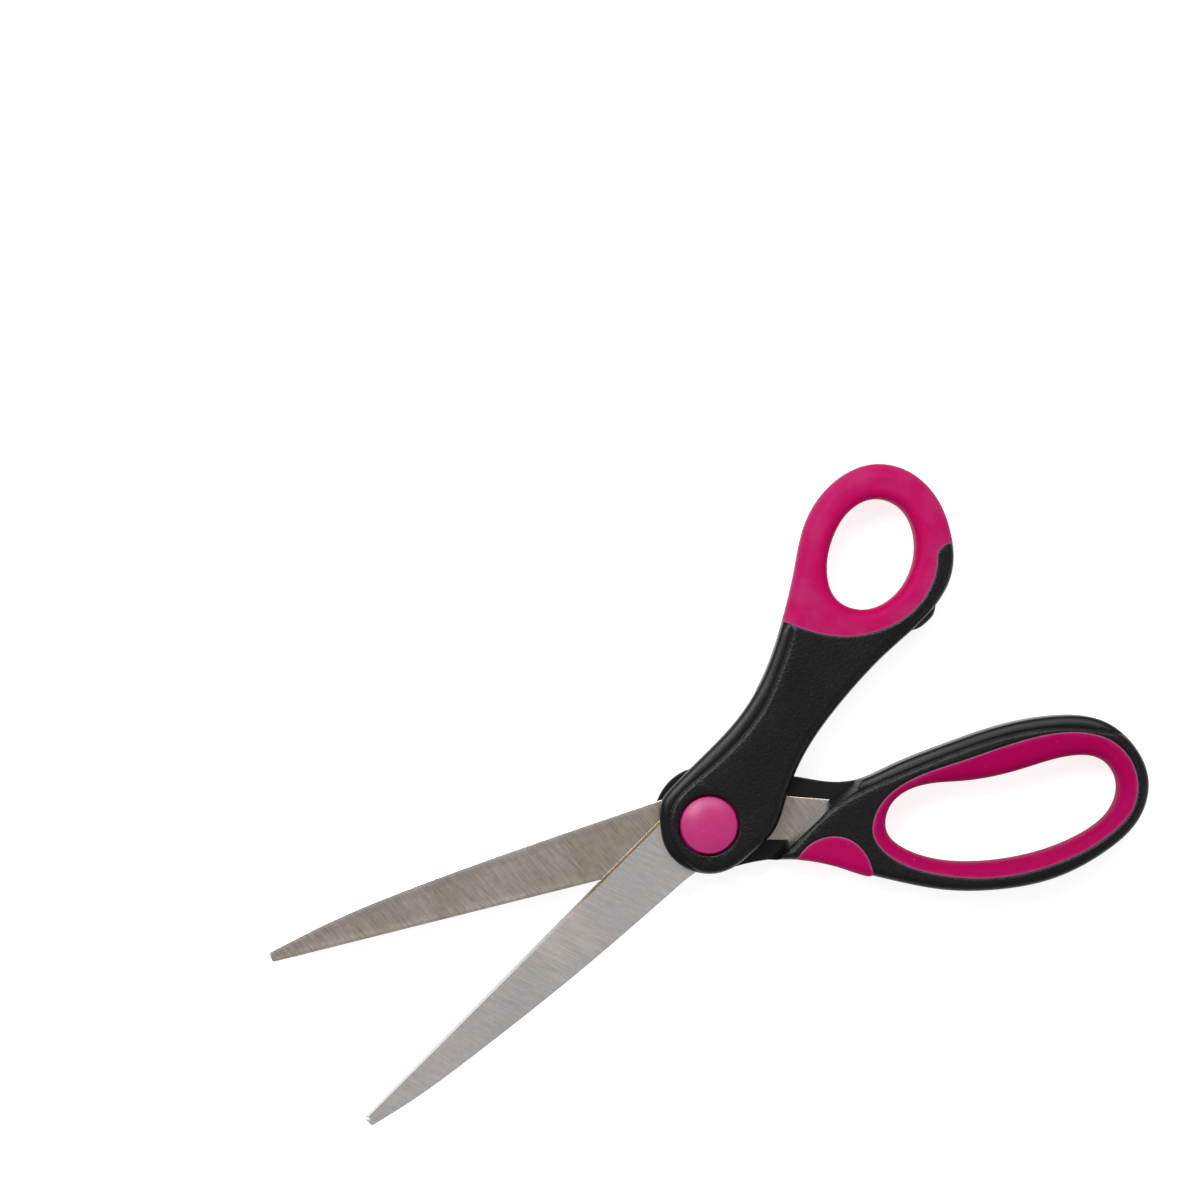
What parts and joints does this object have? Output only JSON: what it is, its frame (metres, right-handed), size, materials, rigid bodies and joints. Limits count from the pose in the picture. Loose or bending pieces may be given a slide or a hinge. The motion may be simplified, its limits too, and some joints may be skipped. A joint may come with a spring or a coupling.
{
  "type": "office scissors",
  "caption": "Office scissors with offset soft-lined bows, half-lapped plastic handles over steel blades, a capped pivot bolt and an index-finger pad, open at a cutting angle.",
  "frame": {"origin": "on the pivot axis, in the plane that the scissors lie on: the flat back of the pivot bolt's head", "axes": "+Z along the pivot from the bolt's head to the cap; +X from the blade tips to the bows along the rear half's closed centre line; +Y to the thumb bow's side"},
  "size_m": [0.2156, 0.1176, 0.0129],
  "materials": {
    "rear_blade_steel": "satin, cross-ground",
    "front_blade_steel": "satin, fine lengthwise grain",
    "black_plastic": "fine spark-eroded texture with a smooth shoulder",
    "magenta_soft_grip": "satin soft-touch",
    "magenta_cap_plastic": "satin",
    "bumper_rubber": "matte",
    "pivot_steel": "bright"
  },
  "bodies": {
    "rear_half": {"rear_blade": "rear_blade_steel", "rear_handle": "black_plastic", "rear_bow_grip": "magenta_soft_grip", "index_finger_pad": "magenta_soft_grip", "pivot_bolt": "pivot_steel", "flat_washer": "pivot_steel", "spring_washer": "pivot_steel", "pivot_nut": "pivot_steel"},
    "front_half": {"front_blade": "front_blade_steel", "front_handle": "black_plastic", "front_bow_grip": "magenta_soft_grip", "closing_bumper": "bumper_rubber", "pivot_cap": "magenta_cap_plastic"}
  },
  "joints": [
    {"name": "scissor_pivot", "type": "hinge", "parent": "rear_half", "child": "front_half", "pos_m": [0, 0, 0], "axis": [0, 0, 1], "range_deg": [-23.75, 85]}
  ]
}
